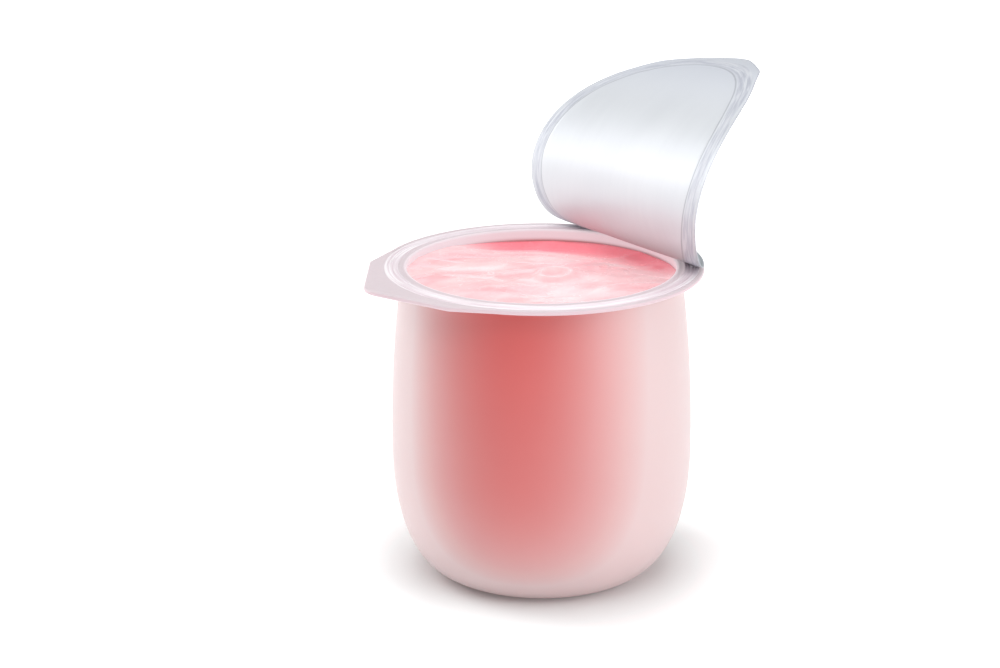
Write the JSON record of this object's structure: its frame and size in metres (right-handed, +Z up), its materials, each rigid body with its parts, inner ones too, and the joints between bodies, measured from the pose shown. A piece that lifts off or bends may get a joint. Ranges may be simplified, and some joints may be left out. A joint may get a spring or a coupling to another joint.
{
  "type": "yogurt pot",
  "caption": "Single-serve yogurt pot: round thermoformed cup with a cornered flange, a filling, and a foil lid peeled back into a curl that rolls flat to close.",
  "frame": {"origin": "centre of the cup's foot, on the cup's axis", "axes": "+Z up along the cup's axis; the flange's pull corner points to -X and the lid's crease is on the +X side"},
  "size_m": [0.0893, 0.0683, 0.1034],
  "materials": {
    "cup_plastic": "milky translucent, satin gloss",
    "yogurt": "wet, smooth with soft folds",
    "heat_seal_lacquer": "whitish film in fine concentric streaks",
    "lid_foil": "satin lacquered inner face with an embossed seal band"
  },
  "bodies": {
    "cup": {"cup": "cup_plastic", "yogurt": "yogurt", "seal_residue": "heat_seal_lacquer", "seal_bond": "heat_seal_lacquer", "lid_patch": "lid_foil"},
    "lid_strip_01": {"lid_strip_01": "lid_foil"},
    "lid_strip_02": {"lid_strip_02": "lid_foil"},
    "lid_strip_03": {"lid_strip_03": "lid_foil"},
    "lid_strip_04": {"lid_strip_04": "lid_foil"},
    "lid_strip_05": {"lid_strip_05": "lid_foil"},
    "lid_strip_06": {"lid_strip_06": "lid_foil"},
    "lid_strip_07": {"lid_strip_07": "lid_foil"},
    "lid_strip_08": {"lid_strip_08": "lid_foil"},
    "lid_strip_09": {"lid_strip_09": "lid_foil"},
    "lid_strip_10": {"lid_strip_10": "lid_foil"},
    "lid_strip_11": {"lid_strip_11": "lid_foil"},
    "lid_strip_12": {"lid_strip_12": "lid_foil"},
    "lid_strip_13": {"lid_strip_13": "lid_foil"},
    "lid_strip_14": {"lid_strip_14": "lid_foil"},
    "lid_tab": {"lid_tab": "lid_foil"}
  },
  "joints": [
    {"name": "peel", "type": "hinge", "parent": "cup", "child": "lid_strip_01", "pos_m": [0.0239, 0, 0.06555], "axis": [-0.1461, 0.9893, 0], "range_deg": [-28, 4]},
    {"name": "curl_01", "type": "hinge", "parent": "lid_strip_01", "child": "lid_strip_02", "pos_m": [0.02036, 0.00007, 0.06741], "axis": [-0.0971, 0.9949, -0.0262], "range_deg": [-23.69, 3.38]},
    {"name": "curl_02", "type": "hinge", "parent": "lid_strip_02", "child": "lid_strip_03", "pos_m": [0.01785, 0.00027, 0.07052], "axis": [-0.0624, 0.9956, -0.0699], "range_deg": [-20.04, 2.86]},
    {"name": "curl_03", "type": "hinge", "parent": "lid_strip_03", "child": "lid_strip_04", "pos_m": [0.01657, 0.00059, 0.07429], "axis": [-0.0512, 0.9934, -0.1029], "range_deg": [-16.95, 2.42]},
    {"name": "curl_04", "type": "hinge", "parent": "lid_strip_04", "child": "lid_strip_05", "pos_m": [0.01644, 0.001, 0.07827], "axis": [-0.0512, 0.9934, -0.1029], "range_deg": [-14.34, 2.05]},
    {"name": "curl_05", "type": "hinge", "parent": "lid_strip_05", "child": "lid_strip_06", "pos_m": [0.01731, 0.00145, 0.08215], "axis": [-0.0512, 0.9934, -0.1029], "range_deg": [-12.13, 1.73]},
    {"name": "curl_06", "type": "hinge", "parent": "lid_strip_06", "child": "lid_strip_07", "pos_m": [0.01897, 0.00191, 0.08576], "axis": [-0.0512, 0.9934, -0.1029], "range_deg": [-10.26, 1.47]},
    {"name": "curl_07", "type": "hinge", "parent": "lid_strip_07", "child": "lid_strip_08", "pos_m": [0.02126, 0.00236, 0.08901], "axis": [-0.0512, 0.9934, -0.1029], "range_deg": [-8.68, 1.24]},
    {"name": "curl_08", "type": "hinge", "parent": "lid_strip_08", "child": "lid_strip_09", "pos_m": [0.02401, 0.0028, 0.09188], "axis": [-0.0512, 0.9934, -0.1029], "range_deg": [-7.34, 1.05]},
    {"name": "curl_09", "type": "hinge", "parent": "lid_strip_09", "child": "lid_strip_10", "pos_m": [0.02711, 0.00322, 0.09437], "axis": [-0.0512, 0.9934, -0.1029], "range_deg": [-6.21, 0.89]},
    {"name": "curl_10", "type": "hinge", "parent": "lid_strip_10", "child": "lid_strip_11", "pos_m": [0.03047, 0.00361, 0.09651], "axis": [-0.0512, 0.9934, -0.1029], "range_deg": [-5.25, 0.75]},
    {"name": "curl_11", "type": "hinge", "parent": "lid_strip_11", "child": "lid_strip_12", "pos_m": [0.03401, 0.00398, 0.09834], "axis": [-0.0512, 0.9934, -0.1029], "range_deg": [-4.44, 0.64]},
    {"name": "curl_12", "type": "hinge", "parent": "lid_strip_12", "child": "lid_strip_13", "pos_m": [0.03768, 0.00433, 0.09989], "axis": [-0.0512, 0.9934, -0.1029], "range_deg": [-4.66, 0.67]},
    {"name": "curl_13", "type": "hinge", "parent": "lid_strip_13", "child": "lid_strip_14", "pos_m": [0.04147, 0.00466, 0.10113], "axis": [-0.0512, 0.9934, -0.1029], "range_deg": [-7.08, 1.01]},
    {"name": "curl_14", "type": "hinge", "parent": "lid_strip_14", "child": "lid_tab", "pos_m": [0.04538, 0.00494, 0.1019], "axis": [-0.0512, 0.9934, -0.1029], "range_deg": [-9.59, 1.37]}
  ],
  "couplings": [
    {"joint": "curl_01", "follows": "peel", "ratio": 0.84589},
    {"joint": "curl_02", "follows": "peel", "ratio": 0.71553},
    {"joint": "curl_03", "follows": "peel", "ratio": 0.60526},
    {"joint": "curl_04", "follows": "peel", "ratio": 0.51199},
    {"joint": "curl_05", "follows": "peel", "ratio": 0.43309},
    {"joint": "curl_06", "follows": "peel", "ratio": 0.36634},
    {"joint": "curl_07", "follows": "peel", "ratio": 0.30989},
    {"joint": "curl_08", "follows": "peel", "ratio": 0.26213},
    {"joint": "curl_09", "follows": "peel", "ratio": 0.22173},
    {"joint": "curl_10", "follows": "peel", "ratio": 0.18756},
    {"joint": "curl_11", "follows": "peel", "ratio": 0.15866},
    {"joint": "curl_12", "follows": "peel", "ratio": 0.16635},
    {"joint": "curl_13", "follows": "peel", "ratio": 0.25281},
    {"joint": "curl_14", "follows": "peel", "ratio": 0.34246}
  ]
}
